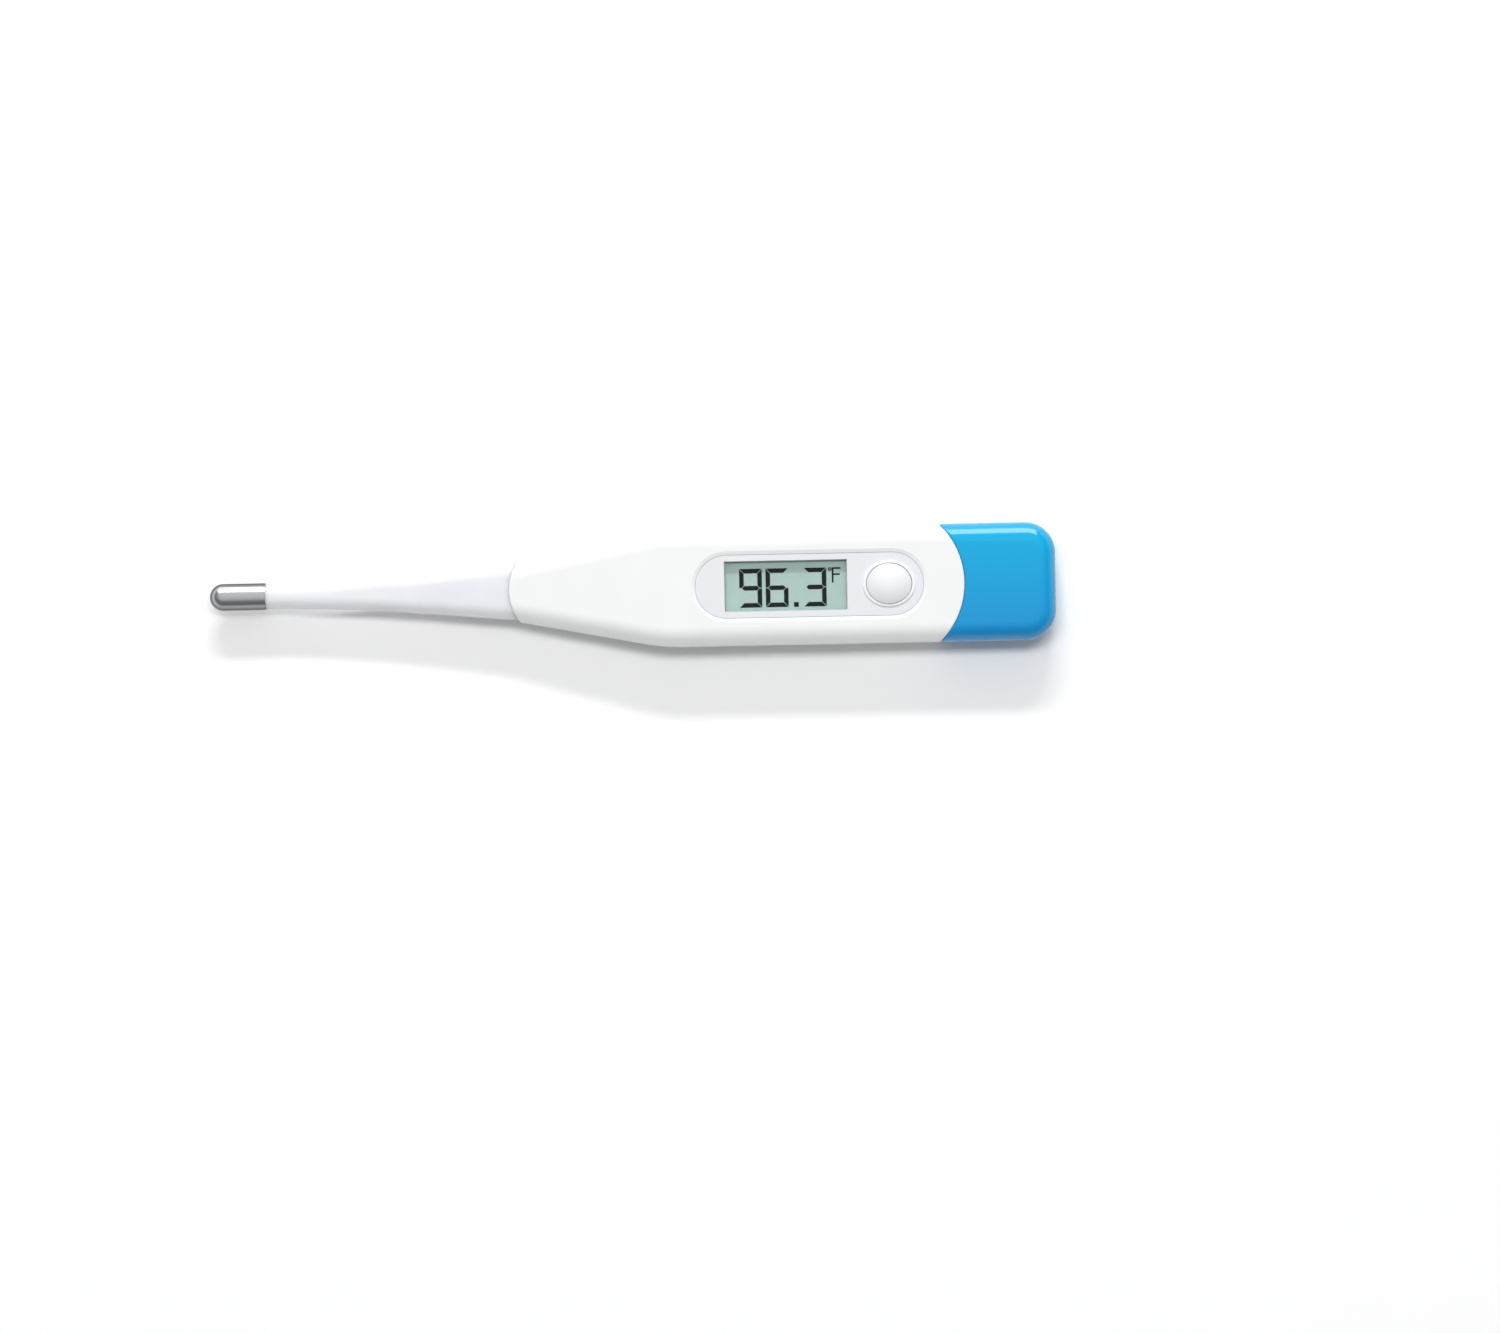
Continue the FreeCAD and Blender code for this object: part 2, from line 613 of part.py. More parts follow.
def make_display_frame():
    top = GLASS_JOIN_Z + GLASS_THICKNESS
    outer = plate(DISPLAY_X, DISPLAY_FRAME_LENGTH, DISPLAY_FRAME_WIDTH, (BOARD_TOP, top))
    inner = plate(DISPLAY_X, GLASS_LENGTH + 2 * SLIP, GLASS_WIDTH + 2 * SLIP, (0, THICKNESS))
    frame = [outer.cut(inner)]
    shelf_top = GLASS_JOIN_Z - GLASS_THICKNESS - FILM_THICKNESS
    for side in (-1, 1):
        end = DISPLAY_X + side * (GLASS_LENGTH / 2 + SHELF_OUTSIDE)
        shelf_x = sorted((end, end - side * SHELF_LENGTH))
        shelf_y = (-SHELF_HALF_WIDTH, SHELF_HALF_WIDTH)
        frame.append(box(shelf_x, shelf_y, (BOARD_TOP, shelf_top)))
    return fused(frame)


def make_display_reflector():
    top = GLASS_JOIN_Z - GLASS_THICKNESS
    return plate(DISPLAY_X, GLASS_LENGTH, REAR_GLASS_WIDTH, (top - FILM_THICKNESS, top))


def make_display_rear_glass():
    return plate(DISPLAY_X, GLASS_LENGTH, REAR_GLASS_WIDTH,
                 (GLASS_JOIN_Z - GLASS_THICKNESS, GLASS_JOIN_Z))


def make_display_front_glass():
    return plate(DISPLAY_X, GLASS_LENGTH, GLASS_WIDTH, (GLASS_JOIN_Z, GLASS_JOIN_Z + GLASS_THICKNESS))


def make_display_polarizer():
    bottom = GLASS_JOIN_Z + GLASS_THICKNESS
    length, width = (size - 2 * POLARIZER_INSET for size in (GLASS_LENGTH, GLASS_WIDTH))
    return plate(DISPLAY_X, length, width, (bottom, bottom + FILM_THICKNESS))


def make_zebra_strips():
    inner, outer = REAR_GLASS_WIDTH / 2 + ZEBRA_GAP, GLASS_WIDTH / 2 - ZEBRA_EDGE
    half_length = GLASS_LENGTH / 2 - ZEBRA_INSET
    x_range = (DISPLAY_X - half_length, DISPLAY_X + half_length)
    return Part.makeCompound([box(x_range, sorted((side * inner, side * outer)),
                                  (BOARD_TOP, GLASS_JOIN_Z)) for side in (-1, 1)])


# Switch under the button

def make_switch_body():
    return plate(BUTTON_X, SWITCH_SIZE, SWITCH_SIZE, (BOARD_TOP, SWITCH_TOP))


def make_switch_dome():
    height = BUTTON_BOTTOM - DOME_GAP - SWITCH_TOP
    return Part.makeCone(DOME_BOTTOM_RADIUS, DOME_TOP_RADIUS, height,
                         Vector(BUTTON_X, 0, SWITCH_TOP))


# Battery and its contacts

def make_button_cell():
    can = post(CELL_RADIUS, CELL_X, 0, (CELL_BOTTOM + CELL_LID_STEP, CELL_TOP))
    lid = Part.makeCone(CELL_RADIUS - CELL_LID_INSET, CELL_RADIUS, CELL_LID_STEP,
                        Vector(CELL_X, 0, CELL_BOTTOM))
    return fused([can, lid])


def contact(x_range, strip_bottom, riser_z):
    """A bent strip: a flat stretch along X and a riser to the board at its front end."""
    y_range = (-CONTACT_HALF_WIDTH, CONTACT_HALF_WIDTH)
    strip = box(x_range, y_range, (strip_bottom, strip_bottom + CONTACT_THICKNESS))
    riser_x = (x_range[0], x_range[0] + CONTACT_THICKNESS)
    return fused([strip, box(riser_x, y_range, riser_z)])


def make_negative_contact():
    return contact(NEGATIVE_CONTACT_X, FLOOR_Z, (FLOOR_Z, BOARD_BOTTOM))


def make_positive_contact():
    return contact(POSITIVE_CONTACT_X, CELL_TOP, (BOARD_TOP, CELL_TOP + CONTACT_THICKNESS))


# Buzzer

def make_buzzer_disc():
    return post(BUZZER_RADIUS, BUZZER_X, 0, (FLOOR_Z, FLOOR_Z + BUZZER_LAYER))


def make_buzzer_ceramic():
    bottom = FLOOR_Z + BUZZER_LAYER
    return post(CERAMIC_RADIUS, BUZZER_X, 0, (bottom, bottom + BUZZER_LAYER))


def make_buzzer_springs():
    disc_top = FLOOR_Z + BUZZER_LAYER
    ceramic_top = disc_top + BUZZER_LAYER
    on_disc = post(SPRING_RADIUS, BUZZER_X, SPRING_OFFSET, (disc_top, BOARD_BOTTOM))
    on_ceramic = post(SPRING_RADIUS, BUZZER_X, 0, (ceramic_top, BOARD_BOTTOM))
    return Part.makeCompound([on_disc, on_ceramic])


def main():
    os.makedirs("parts", exist_ok=True)
    neck_form = make_neck_form()
    pieces = {
        "main_housing": make_main_housing(),
        "face_panel": make_face_panel(),
        "panel_adhesive": make_panel_adhesive(),
        "display_window": make_display_window(),
        "button_ring": make_button_ring(),
        "power_button": make_power_button(),
        "neck_rear": make_neck_rear(neck_form),
        "neck_middle": make_neck_middle(neck_form),
        "neck_front": make_neck_front(neck_form),
        "neck_core": make_neck_core(),
        "sensor_cap": make_sensor_cap(),
        "thermistor_bead": make_thermistor_bead(),
        "tip_potting": make_tip_potting(),
        "sensor_leads": make_sensor_leads(),
        "lead_slack": make_lead_slack(),
        "solder_joints": make_solder_joints(),
        "battery_cover": make_battery_cover(),
        "cover_seal": make_cover_seal(),
        "chassis": make_chassis(),
        "circuit_board": make_circuit_board(),
        "processor_blob": make_processor_blob(),
        "chip_components": make_chip_components(),
        "display_frame": make_display_frame(),
        "display_reflector": make_display_reflector(),
        "display_rear_glass": make_display_rear_glass(),
        "display_front_glass": make_display_front_glass(),
        "display_polarizer": make_display_polarizer(),
        "zebra_strips": make_zebra_strips(),
        "switch_body": make_switch_body(),
        "switch_dome": make_switch_dome(),
        "button_cell": make_button_cell(),
        "negative_contact": make_negative_contact(),
        "positive_contact": make_positive_contact(),
        "buzzer_disc": make_buzzer_disc(),
        "buzzer_ceramic": make_buzzer_ceramic(),
        "buzzer_springs": make_buzzer_springs(),
    }
    for name, shape in pieces.items():
        shape.exportStep("parts/" + name + ".step")
        print(name, "valid" if shape.isValid() else "NOT VALID", len(shape.Solids),
              round(shape.Volume, 2))


main()
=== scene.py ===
"""Looks, light and camera for the digital thermometer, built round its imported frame.

Everything is in metres in the frame's own axes: the metal tip points to -X, the display
faces +Z, and the floor is z = 0.
"""
import json
import math

import bmesh
import bpy
from mathutils import Matrix, Vector


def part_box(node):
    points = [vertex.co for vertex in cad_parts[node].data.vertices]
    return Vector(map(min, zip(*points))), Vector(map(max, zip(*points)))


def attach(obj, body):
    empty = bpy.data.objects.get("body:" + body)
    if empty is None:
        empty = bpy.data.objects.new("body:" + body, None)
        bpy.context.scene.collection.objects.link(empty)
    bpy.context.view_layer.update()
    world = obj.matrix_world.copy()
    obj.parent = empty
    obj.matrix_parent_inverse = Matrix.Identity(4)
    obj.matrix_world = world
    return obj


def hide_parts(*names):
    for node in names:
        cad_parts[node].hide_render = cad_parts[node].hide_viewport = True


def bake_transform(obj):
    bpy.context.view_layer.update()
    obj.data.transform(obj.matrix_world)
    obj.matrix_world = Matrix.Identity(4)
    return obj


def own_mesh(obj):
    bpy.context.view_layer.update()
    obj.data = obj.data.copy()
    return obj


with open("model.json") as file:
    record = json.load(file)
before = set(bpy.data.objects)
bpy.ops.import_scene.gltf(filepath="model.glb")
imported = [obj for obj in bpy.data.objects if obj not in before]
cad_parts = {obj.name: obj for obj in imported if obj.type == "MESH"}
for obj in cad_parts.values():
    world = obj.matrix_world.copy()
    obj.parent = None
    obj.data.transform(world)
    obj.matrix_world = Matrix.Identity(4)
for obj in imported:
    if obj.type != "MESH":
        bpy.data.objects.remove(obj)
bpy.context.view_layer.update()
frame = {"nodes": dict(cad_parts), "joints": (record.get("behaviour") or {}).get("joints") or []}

nodes = frame["nodes"]
MM = 0.001

# Places read from the frame. lift_x and swing_x are the neck's two hinges.
housing_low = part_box("main_housing")[0]
metal_low, metal_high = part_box("sensor_cap")
cover_low, cover_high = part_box("battery_cover")
window_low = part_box("display_window")[0]
polarizer_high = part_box("display_polarizer")[1]
joints = {joint["name"]: joint for joint in frame["joints"]}
axis_z = (metal_low.z + metal_high.z) / 2
lift_x = joints["neck_lift"]["pos_m"][0]
swing_x = joints["neck_swing"]["pos_m"][0]

# Neck's soft skin
NECK_TIP_WIDTH = 3.8 * MM
NECK_ROOT_WIDTH = 8.6 * MM
NECK_ROOT_THICKNESS = 6.4 * MM
NECK_GROWTH = 1.7               # above 1 the neck widens faster towards the housing
NECK_TIP_EDGE = 1.88 * MM       # rounding of its long edges at the tip
NECK_ROOT_EDGE = 2.1 * MM       # and at the housing
NECK_RING_STEP = 0.25 * MM
NECK_SIDES = 96
MILK_FADE = 4.5 * MM            # over which the skin turns milky, away from its seam
LIP_REACH = 4.0 * MM            # over which its rings turn from flat to the housing's round lip
LIP_RADIUS = 7.5 * MM
METAL_WALL = 0.2 * MM
PLUG_LENGTH = 2.4 * MM
PLUG_STEP_ROUNDING = 0.12 * MM  # of the skin's rim next to the metal
PLUG_STEP_RINGS = 5
SKIN_GAP = 0.01 * MM            # between the skin and the metal
SKIN_LAP = 0.02 * MM            # of the skin into the housing

# Leads
LEAD_RADIUS = 0.15 * MM
LEAD_OFFSET = 0.35 * MM         # of each lead from the middle
LEAD_STEP = 0.5 * MM
WIRE_SIDES = 12

# Buzzer springs
SPRING_DIAMETER = 1.0 * MM
SPRING_WIRE = 0.1 * MM          # radius of the wire
SPRING_TURNS = 5
SPRING_STEPS = 24               # rings in each turn


# ---------------------------------------------------------------- node helpers

def srgb(text):
    """A linear colour from a hex colour."""
    values = [int(text[i:i + 2], 16) / 255 for i in (1, 3, 5)]
    return tuple(v / 12.92 if v <= 0.04045 else ((v + 0.055) / 1.055) ** 2.4 for v in values)


class Look:
    """A Principled material with short calls for its procedural detail."""

    def __init__(self, name, colour, roughness, **sockets):
        self.material = bpy.data.materials.new(name)
        self.material.use_nodes = True
        self.tree = self.material.node_tree
        self.shader = self.tree.nodes["Principled BSDF"]
        self.colour = colour
        self.roughness = roughness
        self.set("Base Color", (*colour, 1))
        self.set("Roughness", roughness)
        for socket, value in sockets.items():
            self.set(socket.replace("_", " "), value)
        self.place = self.add("ShaderNodeTexCoord").outputs["Object"]
        self.normal = None

    def set(self, socket, value):
        """Sets a uniform value on the shader itself."""
        self.shader.inputs[socket].default_value = value

    def add(self, kind):
        """A new node in the material."""
        return self.tree.nodes.new(kind)

    def link(self, output, target):
        """Joins an output to an input."""
        self.tree.links.new(output, target)

    def noise(self, size, detail=2.0, stretch=(1, 1, 1)):
        """Noise whose features are about size metres across."""
        mapping = self.add("ShaderNodeMapping")
        mapping.inputs["Scale"].default_value = stretch
        self.link(self.place, mapping.inputs["Vector"])
        node = self.add("ShaderNodeTexNoise")
        node.inputs["Scale"].default_value = 1 / size
        node.inputs["Detail"].default_value = detail
        self.link(mapping.outputs["Vector"], node.inputs["Vector"])
        return node.outputs["Fac"]

    def mapped(self, value, low, high, start=0.3, end=0.7):
        """The value's middle range spread over low to high."""
        node = self.add("ShaderNodeMapRange")
        node.inputs["From Min"].default_value = start
        node.inputs["From Max"].default_value = end
        node.inputs["To Min"].default_value = low
        node.inputs["To Max"].default_value = high
        self.link(value, node.inputs["Value"])
        return node.outputs["Result"]

    def product(self, one, two):
        """Two values multiplied."""
        node = self.add("ShaderNodeMath")
        node.operation = "MULTIPLY"
        self.link(one, node.inputs[0])
        self.link(two, node.inputs[1])
        return node.outputs["Value"]

    def vary_colour(self, value, other):
        """Mixes the base colour towards another one where value is high."""
        mix = self.add("ShaderNodeMix")
        mix.data_type = "RGBA"
        mix.inputs["A"].default_value = (*self.colour, 1)
        mix.inputs["B"].default_value = (*other, 1)
        self.link(value, mix.inputs["Factor"])
        self.link(mix.outputs["Result"], self.shader.inputs["Base Color"])
        return self

    def vary_roughness(self, value, spread):
        """Roughness spread about its middle, over the noise's whole range."""
        low, high = self.roughness - 2 * spread, self.roughness + 2 * spread
        self.link(self.mapped(value, low, high, 0.0, 1.0), self.shader.inputs["Roughness"])
        return self

    def bump(self, value, depth, strength=1.0):
        """Raises the surface by up to depth metres, on top of earlier bumps."""
        node = self.add("ShaderNodeBump")
        node.inputs["Distance"].default_value = depth
        node.inputs["Strength"].default_value = strength
        self.link(value, node.inputs["Height"])
        if self.normal is not None:
            self.link(self.normal, node.inputs["Normal"])
        self.normal = node.outputs["Normal"]
        self.link(self.normal, self.shader.inputs["Normal"])
        return self


def along(look, axis, low, high):
    """0 to 1 along an axis of the object between two places."""
    split = look.add("ShaderNodeSeparateXYZ")
    look.link(look.place, split.inputs["Vector"])
    return look.mapped(split.outputs[axis], 0.0, 1.0, low, high)


# ---------------------------------------------------------------- materials

def moulded_plastic(name, colour, roughness, grain=0.6 * MM, depth=0.0009 * MM, **sockets):
    """Moulded plastic: fine spark-eroded grain, uneven gloss and a trace of tint."""
    look = Look(name, colour, roughness, **sockets)
    look.vary_colour(look.mapped(look.noise(6 * MM, 3), 0.0, 1.0), tuple(c * 0.975 for c in colour))
    look.vary_roughness(look.noise(1.6 * MM, 4), 0.02)
    look.bump(look.noise(grain, 2), depth)
    return look


def housing_plastic():
    """The housing's white."""
    return moulded_plastic("white_abs", srgb("#eef0ef"), 0.33, IOR=1.5)


def panel_plastic():
    """Light grey insert, more matt than the housing."""
    return moulded_plastic("panel_grey", srgb("#e3e4e8"), 0.42)


def button_plastic():
    """The button's white, with shallower grain."""
    return moulded_plastic("button_white", srgb("#ebecee"), 0.33, depth=0.0005 * MM)


def soft_neck():
    """Milky soft elastomer with a faint sheen, and light going a little way into it."""
    look = Look("soft_neck", srgb("#e7e8eb"), 0.2,
                Subsurface_Radius=(1.0, 0.97, 0.97), Subsurface_Scale=1.8 * MM, IOR=1.34)
    milkiness = look.add("ShaderNodeAttribute")
    milkiness.attribute_name = "milkiness"
    look.link(milkiness.outputs["Fac"], look.shader.inputs["Subsurface Weight"])
    look.vary_colour(look.mapped(look.noise(5 * MM, 3), 0.0, 1.0), srgb("#e4e5e9"))
    look.vary_roughness(look.noise(1.2 * MM, 3), 0.02)
    look.bump(look.noise(0.6 * MM, 2), 0.001 * MM)
    return look


def cover_plastic():
    """Gloss blue, with painted light: lighter and greener towards the back (+Y) edge that the lights
    lean towards, and deeper blue towards the front.
    """
    look = Look("cover_blue", srgb("#148ccb"), 0.12, IOR=1.48)
    # Painted light: the blue turns lighter and greener towards +Y, the side the lights come from.
    tint = along(look, "Y", cover_low.y * 0.9, cover_high.y * 0.7)
    look.vary_colour(tint, srgb("#03a7d9"))
    look.vary_roughness(look.noise(1.5 * MM, 4), 0.03)
    look.bump(look.noise(0.6 * MM, 2), 0.0008 * MM)
    return look


def drawn_steel_painted_shade():
    """Polished steel with fine drawing lines along the tip, and painted shade: darker over its
    underside and front side, paler along its top.
    """
    look = Look("tip_steel", srgb("#8a8b8e"), 0.22, Metallic=1.0,
                Specular_Tint=(0.35, 0.35, 0.35, 1))
    lines = look.noise(0.12 * MM, 3, stretch=(0.03, 1, 1))
    look.vary_roughness(lines, 0.02)
    look.bump(lines, 0.0004 * MM)
    # Painted shade: the steel stays dark below its top and on its front side, and turns pale only
    # along its top.
    painted_shade_z = along(look, "Z", axis_z + 1.1 * MM, axis_z + 1.8 * MM)
    painted_shade_y = along(look, "Y", metal_low.y, metal_low.y / 2)
    look.vary_colour(look.product(painted_shade_z, painted_shade_y), srgb("#e4e5e7"))
    return look


def clear_plate(name, colour, alpha, roughness=0.06):
    """A thin see-through plate."""
    look = Look(name, colour, roughness, Alpha=alpha, IOR=1.49)
    look.vary_roughness(look.noise(2 * MM, 3), 0.02)
    return look


def display_backing(name, colour, other):
    """The grey-green film that gives the display its ground colour."""
    look = Look(name, srgb(colour), 0.55)
    look.vary_colour(look.mapped(look.noise(3 * MM, 2), 0.0, 1.0), srgb(other))
    look.vary_roughness(look.noise(1 * MM, 3), 0.05)
    return look


def segment_ink():
    """Near-black, with hardly any gloss, as seen inside the display."""
    look = Look("display_segment", srgb("#08100f"), 0.6, IOR=1.2)
    look.vary_colour(look.mapped(look.noise(0.6 * MM, 2), 0.0, 1.0), srgb("#101a18"))
    look.vary_roughness(look.noise(0.3 * MM, 2), 0.05)
    return look


def worn_metal(name, colour, roughness, size=0.4 * MM):
    """Metal with uneven gloss and tone, whose marks are about size across."""
    look = Look(name, colour, roughness, Metallic=1.0)
    look.vary_roughness(look.noise(size, 4), 0.025)
    look.bump(look.noise(size / 3, 3), 0.001 * MM)
    look.vary_colour(look.mapped(look.noise(size * 3, 3), 0.0, 1.0), tuple(c * 0.86 for c in colour))
    return look


def board_mask():
    """Green solder mask over faint copper tracks."""
    look = Look("board_green", srgb("#0f5b33"), 0.38, Coat_Weight=0.3)
    brick = look.add("ShaderNodeTexBrick")
    brick.inputs["Scale"].default_value = 1 / (1.2 * MM)
    brick.inputs["Mortar Size"].default_value = 0.12
    look.link(look.place, brick.inputs["Vector"])
    look.vary_colour(brick.outputs["Fac"], srgb("#1d7a48"))
    look.bump(brick.outputs["Fac"], 0.01 * MM)
    look.vary_roughness(look.noise(0.5 * MM, 3), 0.04)
    return look


def zebra_rubber():
    """Elastic connector: thin dark conducting layers across pink-white silicone."""
    look = Look("zebra_rubber", srgb("#dcc4c8"), 0.7)
    wave = look.add("ShaderNodeTexWave")
    wave.inputs["Scale"].default_value = 1 / (3.0 * MM)
    look.link(look.place, wave.inputs["Vector"])
    look.vary_colour(wave.outputs["Fac"], srgb("#2a2628"))
    look.bump(look.noise(0.2 * MM, 2), 0.004 * MM)
    return look


def assign_materials():
    """Gives every CAD node its finished material."""
    glass = clear_plate("display_glass", srgb("#9fb0ab"), 0.4)
    contact = worn_metal("contact_metal", srgb("#c9c7c0"), 0.35)
    frame_white = moulded_plastic("frame_plastic", srgb("#e2e3e3"), 0.5)
    wire = moulded_plastic("lead_enamel", srgb("#a5583a"), 0.34, grain=0.05 * MM)
    looks = {
        "main_housing": housing_plastic(), "face_panel": panel_plastic(),
        "panel_adhesive": moulded_plastic("adhesive", srgb("#c9c9c4"), 0.8),
        "display_window": clear_plate("window_clear", srgb("#8f9694"), 0.02),
        "button_ring": moulded_plastic("ring_white", srgb("#f1f2f4"), 0.45),
        "power_button": button_plastic(),
        "neck_core": moulded_plastic("core_plastic", srgb("#d2d2d2"), 0.5),
        "sensor_cap": drawn_steel_painted_shade(),
        "thermistor_bead": moulded_plastic("bead_glass", srgb("#5a3020"), 0.15),
        "tip_potting": moulded_plastic("epoxy", srgb("#3a3a40"), 0.2),
        "sensor_leads": wire, "lead_slack": wire,
        "solder_joints": worn_metal("solder", srgb("#c4c5c8"), 0.2, 0.2 * MM),
        "battery_cover": cover_plastic(),
        "cover_seal": moulded_plastic("seal_rubber", srgb("#2a2b2d"), 0.65),
        "chassis": moulded_plastic("chassis_plastic", srgb("#cfd1d2"), 0.5),
        "circuit_board": board_mask(),
        "processor_blob": moulded_plastic("blob_black", srgb("#111112"), 0.12, grain=0.8 * MM),
        "chip_components": moulded_plastic("chip_dark", srgb("#1d1d1f"), 0.45),
        "display_frame": frame_white,
        "display_reflector": display_backing("reflector_foil", "#b5c6c1", "#a9bdb6"),
        "display_rear_glass": glass, "display_front_glass": glass,
        "display_polarizer": display_backing("polarizer_film", "#aec7c1", "#aac3bd"),
        "zebra_strips": zebra_rubber(),
        "switch_body": moulded_plastic("switch_plastic", srgb("#1f1f20"), 0.5),
        "switch_dome": moulded_plastic("dome_rubber", srgb("#dadad6"), 0.6),
        "button_cell": worn_metal("cell_steel", srgb("#c8c9cb"), 0.34),
        "negative_contact": contact, "positive_contact": contact, "buzzer_springs": contact,
        "buzzer_disc": worn_metal("buzzer_brass", srgb("#c8a457"), 0.36),
        "buzzer_ceramic": moulded_plastic("ceramic_white", srgb("#dedbd0"), 0.6),
    }
    for name, look in looks.items():
        mesh = nodes[name].data
        mesh.materials.clear()
        mesh.materials.append(look.material)
        for polygon in mesh.polygons:
            polygon.material_index = 0


# ---------------------------------------------------------------- meshes

def mesh_object(name, mesh_data, look):
    """A new piece with the given shape and material."""
    mesh = bpy.data.meshes.new(name)
    mesh_data.to_mesh(mesh)
    mesh_data.free()
    mesh.materials.append(look.material)
    piece = bpy.data.objects.new(name, mesh)
    bpy.context.collection.objects.link(piece)
    return piece


def tube_mesh(rings):
    """A closed skin through rings of points, its two ends filled and kept sharp."""
    mesh = bmesh.new()
    made = [[mesh.verts.new(point) for point in ring] for ring in rings]
    sides = len(rings[0])
    for one, two in zip(made, made[1:]):
        for i in range(sides):
            j = (i + 1) % sides
            face = mesh.faces.new((one[i], one[j], two[j], two[i]))
            face.smooth = True
    for ring in (made[0], made[-1]):
        mesh.faces.new(ring)
        for i in range(sides):
            edge = mesh.edges.get((ring[i], ring[(i + 1) % sides]))
            edge.smooth = False
    bmesh.ops.recalc_face_normals(mesh, faces=mesh.faces)
    return mesh


# ---------------------------------------------------------------- neck

def neck_size(x):
    """The neck's half width, half thickness and corner radius at x."""
    share = max(0.0, (x - metal_high.x) / (housing_low.x - metal_high.x)) ** NECK_GROWTH
    width = NECK_TIP_WIDTH + (NECK_ROOT_WIDTH - NECK_TIP_WIDTH) * share
    thickness = NECK_TIP_WIDTH + (NECK_ROOT_THICKNESS - NECK_TIP_WIDTH) * share
    return width / 2, thickness / 2, NECK_TIP_EDGE + (NECK_ROOT_EDGE - NECK_TIP_EDGE) * share


def neck_ring(x, scale=1.0, curved=0.0):
    """An oblong ring with round corners. Where curved is 1 it lies on the housing's round lip."""
    half_width, half_thickness, radius = neck_size(x)
    per_corner = NECK_SIDES // 4
    ring = []
    for i in range(NECK_SIDES):
        corner, step = divmod(i, per_corner)
        turn = math.pi / 2 * (corner + step / (per_corner - 1))
        side = 1 if corner in (0, 3) else -1
        upper = 1 if corner in (0, 1) else -1
        y = (side * (half_width - radius) + radius * math.cos(turn)) * scale
        z = (upper * (half_thickness - radius) + radius * math.sin(turn)) * scale
        back = LIP_RADIUS - math.sqrt(LIP_RADIUS ** 2 - y * y)
        ring.append((x + curved * back, y, axis_z + z))
    return ring


def spaced(start, end, step):
    """Even places from start to end, about step apart."""
    count = max(2, round(abs(end - start) / step))
    return [start + (end - start) * i / count for i in range(count + 1)]


def add_milkiness(piece, seam_x):
    """How far light goes into the skin: none at the seam, so that no dark ring shows there."""
    attribute = piece.data.attributes.new("milkiness", "FLOAT", "POINT")
    for item, vertex in zip(attribute.data, piece.data.vertices):
        share = min(1.0, abs(vertex.co.x - seam_x) / MILK_FADE)
        item.value = share * share * (3 - 2 * share)


def make_neck_root(look, seam_x):
    """The soft skin from the middle of the neck to the housing's lip."""
    flat_end = housing_low.x - LIP_REACH
    rings = [neck_ring(x) for x in spaced(seam_x, flat_end, NECK_RING_STEP)]
    for x in spaced(flat_end, housing_low.x + SKIN_LAP, NECK_RING_STEP)[1:]:
        curved = (x - flat_end) / (housing_low.x - flat_end)
        rings.append(neck_ring(x, curved=min(1.0, curved) ** 2))
    piece = mesh_object("neck_root_skin", tube_mesh(rings), look)
    add_milkiness(piece, seam_x)
    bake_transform(piece)
    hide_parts("neck_rear", "neck_middle")


def make_neck_tip(look, seam_x):
    """The soft skin from the metal tip to the middle of the neck, with its plug."""
    half = NECK_TIP_WIDTH / 2
    plug_scale = (metal_high.z - axis_z - METAL_WALL) / half
    front = metal_high.x + SKIN_GAP
    rings = [neck_ring(metal_high.x - PLUG_LENGTH, plug_scale), neck_ring(front, plug_scale)]
    for i in range(PLUG_STEP_RINGS):
        turn = math.pi / 2 * i / (PLUG_STEP_RINGS - 1)
        rings.append(neck_ring(front + PLUG_STEP_ROUNDING * (1 - math.cos(turn)),
                               1 - PLUG_STEP_ROUNDING / half * (1 - math.sin(turn))))
    start = front + PLUG_STEP_ROUNDING
    rings += [neck_ring(x) for x in spaced(start, seam_x, NECK_RING_STEP)[1:]]
    piece = mesh_object("neck_tip_skin", tube_mesh(rings), look)
    add_milkiness(piece, seam_x)
    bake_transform(piece)
    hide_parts("neck_front")


# ---------------------------------------------------------------- display reading

SEGMENTS = {"9": "abcdfg", "6": "acdefg", "3": "abcdg"}
WINDOW_MARGIN = 0.55 * MM       # of the window under the panel's edge
READING_SHIFT = -0.26 * MM      # the reading sits a little below the display's middle
DIGIT_WIDTH = 3.4 * MM
DIGIT_HEIGHT = 5.8 * MM
SEGMENT_WIDTH = 0.68 * MM
SEGMENT_GAP = 0.05 * MM
SEGMENT_THICKNESS = 0.01 * MM
INK_GAP = 0.01 * MM             # between the film and the segments
DIGIT_PLACES = (("9", 2.15 * MM), ("6", 6.1 * MM), ("3", 11.8 * MM))
POINT_PLACE = 10.65 * MM        # places are from the display's left edge
POINT_SIZE = 0.714 * MM
UNIT_PLACE = 16.15 * MM
UNIT_WIDTH = 1.2 * MM
UNIT_HEIGHT = 2.3 * MM
UNIT_STROKE = 0.26 * MM
DEGREE_RADIUS = 0.27 * MM
DEGREE_OFFSET = 0.42 * MM       # of the degree mark before the unit letter's upright


def extrude_outline(mesh, outline, z, thickness):
    """A flat prism on the given outline."""
    low = [mesh.verts.new((p.x, p.y, z)) for p in outline]
    high = [mesh.verts.new((p.x, p.y, z + thickness)) for p in outline]
    mesh.faces.new(high)
    mesh.faces.new(low[::-1])
    for i in range(len(outline)):
        j = (i + 1) % len(outline)
        mesh.faces.new((low[i], low[j], high[j], high[i]))


